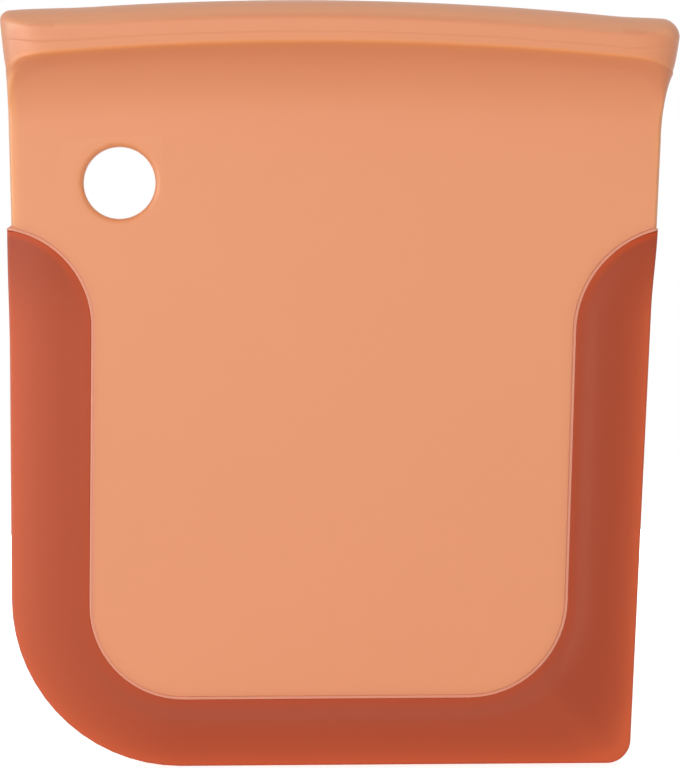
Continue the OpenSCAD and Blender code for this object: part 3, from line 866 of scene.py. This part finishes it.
# Each look holds its colours, the scales of its grain and of its slow drift, and its gloss.
rigidLook = {
    "colour": (0.825, 0.320, 0.151, 1),
    "drift": (0.805, 0.308, 0.145, 1),
    # painted glow along the lower corner and round the hole
    "edgeGlowTone": (0.815, 0.280, 0.081, 1),
    # painted glow where light gets in at the sides of the plate
    "glow": (0.900, 0.375, 0.150, 1),
    # painted shade, darker and warmer, in the hollow below the grip
    "hollow": (0.705, 0.232, 0.099, 1),
    "land": (0.760, 0.310, 0.195, 1),
    # painted sheen on the dome
    "top": (0.835, 0.360, 0.184, 1),
    # painted shade beside the land and on the upright face
    "edge": (0.735, 0.268, 0.131, 1),
    "roughness": 0.42,
    "specular": 0.5,
    "bump": 0.12,
    "bumpDepth": 0.00005,
    "grain": 1800.0,
    "cloud": 22.0,
}


def makeRigidMaterial():
    material, tree, shader = newMaterial("apricot_plastic")
    texture = addTexture(tree, rigidLook)
    colour = mixColour(tree, texture.outputs["Tone"], rigidLook["colour"], rigidLook["drift"])
    # over it go painted sheen on the dome, painted shade in the hollow, painted glow at the sides, the corner
    # and the hole, painted shade beside the land and on the upright face, and the paler land
    colour = addLayers(tree, colour, rigidLook, (
        ("topSheen", "top"), ("hollow", "hollow"), ("sideGlow", "glow"), ("paintedEdgeGlow", "edgeGlowTone"),
        ("edgeAndFaceShade", "edge"), ("paleLand", "land")))
    tree.links.new(colour, shader.inputs["Base Color"])
    addFinish(tree, shader, rigidLook, texture.outputs["Height"])
    return material


softLook = {
    "right": (0.390, 0.061, 0.023, 1),   # its colour on the right arm, and on the left arm, lighter by painted light from the left
    "left": (0.465, 0.080, 0.030, 1),
    # painted glow in the thin rim and the tight corner
    "glow": (0.665, 0.120, 0.042, 1),
    # painted sheen in a band beside the joint
    "band": (0.420, 0.081, 0.038, 1),
    # a redder strip of painted glow along the joint
    "joint": (0.530, 0.074, 0.018, 1),
    "roughness": 0.45,
    "specular": 0.22,
    "bump": 0.15,
    "bumpDepth": 0.00005,
    "grain": 1500.0,
    "cloud": 28.0,
}


def makeSoftMaterial():
    material, tree, shader = newMaterial("terracotta_elastomer")
    texture = addTexture(tree, softLook)
    # the left arm is lighter by painted light from the left
    colour = mixColour(tree, attributeValue(tree, "leftArmLight"), softLook["right"], softLook["left"])
    colour = addLayers(tree, colour, softLook, (
        ("sheenBand", "band"), ("rimGlow", "glow"), ("jointGlow", "joint")))
    tree.links.new(colour, shader.inputs["Base Color"])
    addFinish(tree, shader, softLook, texture.outputs["Height"])
    return material


rigidMaterial = makeRigidMaterial()
softMaterial = makeSoftMaterial()
for piece, material, slotName in ((bodyPiece, rigidMaterial, "rigid_plastic"),
                                  (landPiece, rigidMaterial, "rigid_plastic"),
                                  (softPiece, softMaterial, "soft_elastomer")):
    piece.data.materials.append(material)
    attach(piece, "root")
for node in frame["nodes"].values():
    node.data.materials.clear()
    node.data.materials.append(softMaterial if node.name == "soft_edge" else rigidMaterial)
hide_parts("scraper_body")
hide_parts("soft_edge")
print("materials set")

studio = {
    "above": 0.39,               # strength of the world's light from above and from below
    "below": 0.445,
    "keySize": 0.9,
    "keyPower": 13.7,            # diffuse light only
    "keyPlace": (-0.27, -1.39, 0.16),
    "sheenPower": 14.0,          # gloss only
    "sheenPlace": (-0.90, -1.10, 0.16),
    "sideSize": 0.7,
    "sidePlace": (-0.95, -0.12, 0.12),
    "sidePower": 1.5,            # diffuse light only
    "sideSheen": 11.0,           # gloss only
    "backPlace": (-0.10, 1.40, 0.18),
    "backPower": 11.0,           # diffuse light only
    "floorSize": 6.0,
    "floorColour": 0.9,
    "floorRoughness": 0.9,
    "floorGlow": 0.68,
    "floorNear": 0.57,           # the floor's glow beside the object, and how far out it has grown
    "floorReach": 0.5,
}


# One where the camera, a reflection or clear plastic sees the surface itself, and nothing where it
# lights the object.
def seenDirectly(tree):
    path = tree.nodes.new("ShaderNodeLightPath")
    seen = mathNode(tree, "ADD", path.outputs["Is Camera Ray"], path.outputs["Is Glossy Ray"])
    return mathNode(tree, "ADD", seen, path.outputs["Is Transmission Ray"], clamp=True)


# Pale floor that looks white and keeps the object's shadow: beside the object it glows less.
def makeFloor():
    size = studio["floorSize"] / 2
    mesh = bpy.data.meshes.new("floor")
    mesh.from_pydata([(-size, -size, 0), (size, -size, 0), (size, size, 0), (-size, size, 0)], [],
                     [(0, 1, 2, 3)])
    floor = bpy.data.objects.new("floor", mesh)
    bpy.context.scene.collection.objects.link(floor)
    material, tree, shader = newMaterial("pale_floor")
    shader.inputs["Base Color"].default_value = (studio["floorColour"],) * 3 + (1,)
    shader.inputs["Roughness"].default_value = studio["floorRoughness"]
    shader.inputs["Emission Color"].default_value = (1, 1, 1, 1)
    away = tree.nodes.new("ShaderNodeVectorMath")
    away.operation = "LENGTH"
    tree.links.new(tree.nodes.new("ShaderNodeTexCoord").outputs["Object"], away.inputs[0])
    growth = mathNode(tree, "DIVIDE", away.outputs["Value"], studio["floorReach"], clamp=True)
    glowing = mathNode(tree, "MULTIPLY", growth, studio["floorGlow"] - studio["floorNear"])
    glowing = mathNode(tree, "ADD", glowing, studio["floorNear"])
    glowing = mathNode(tree, "MULTIPLY", seenDirectly(tree), glowing)
    tree.links.new(glowing, shader.inputs["Emission Strength"])
    mesh.materials.append(material)


# World light that grows from below to above, and plain white where the camera sees it.
def makeWorld():
    world = bpy.data.worlds.new("studio")
    bpy.context.scene.world = world
    world.use_nodes = True
    tree = world.node_tree
    background = tree.nodes["Background"]
    split = tree.nodes.new("ShaderNodeSeparateXYZ")
    tree.links.new(tree.nodes.new("ShaderNodeTexCoord").outputs["Generated"], split.inputs[0])
    height = mathNode(tree, "MULTIPLY", mathNode(tree, "ADD", split.outputs["Z"], 1.0), 0.5, clamp=True)
    light = mathNode(tree, "MULTIPLY", height, studio["above"] - studio["below"])
    light = mathNode(tree, "ADD", light, studio["below"])
    background.inputs["Color"].default_value = (1, 1, 1, 1)
    light = mathNode(tree, "MAXIMUM", light, seenDirectly(tree))
    tree.links.new(light, background.inputs["Strength"])


def addSoftbox(name, place, power, size, aim, diffuse=True, glossy=True):
    lamp = bpy.data.lights.new(name, "AREA")
    lamp.shape = "SQUARE"
    lamp.size = size
    lamp.energy = power
    holder = bpy.data.objects.new(name, lamp)
    holder.location = place
    away = np.array(place) - np.array(aim)
    pitch = math.atan2(math.hypot(away[0], away[1]), away[2])
    holder.rotation_euler = (pitch, 0, math.atan2(away[0], -away[1]))
    holder.visible_diffuse = diffuse
    holder.visible_glossy = glossy
    bpy.context.scene.collection.objects.link(holder)


makeFloor()
makeWorld()
aimPoint = (0, 0, gripTop * mm / 2)
addSoftbox("key", studio["keyPlace"], studio["keyPower"], studio["keySize"], aimPoint, glossy=False)
addSoftbox("sheen", studio["sheenPlace"], studio["sheenPower"], studio["keySize"], aimPoint, diffuse=False)
addSoftbox("side", studio["sidePlace"], studio["sidePower"], studio["sideSize"], aimPoint, glossy=False)
addSoftbox("sideSheen", studio["sidePlace"], studio["sideSheen"], studio["sideSize"], aimPoint, diffuse=False)
addSoftbox("back", studio["backPlace"], studio["backPower"], studio["keySize"], aimPoint, glossy=False)
print("studio set")

view = {
    "distance": 0.9,
    "frameHeight": 0.13573,      # height of the picture at the object
    "aimX": -0.00041,
    "aimZ": 0.0673,
    "roll": 0.41,
    "sensor": 36.0,
}


def makeCamera():
    camera = bpy.data.cameras.new("camera")
    camera.sensor_width = view["sensor"]
    camera.lens = view["sensor"] * view["distance"] / view["frameHeight"]
    holder = bpy.data.objects.new("camera", camera)
    holder.location = (view["aimX"], -view["distance"], view["aimZ"])
    holder.rotation_euler = (math.radians(90), math.radians(view["roll"]), 0)
    bpy.context.scene.collection.objects.link(holder)
    bpy.context.scene.camera = holder


makeCamera()
bpy.context.scene.view_settings.view_transform = "Standard"
bpy.context.view_layer.update()

print("scene ready")
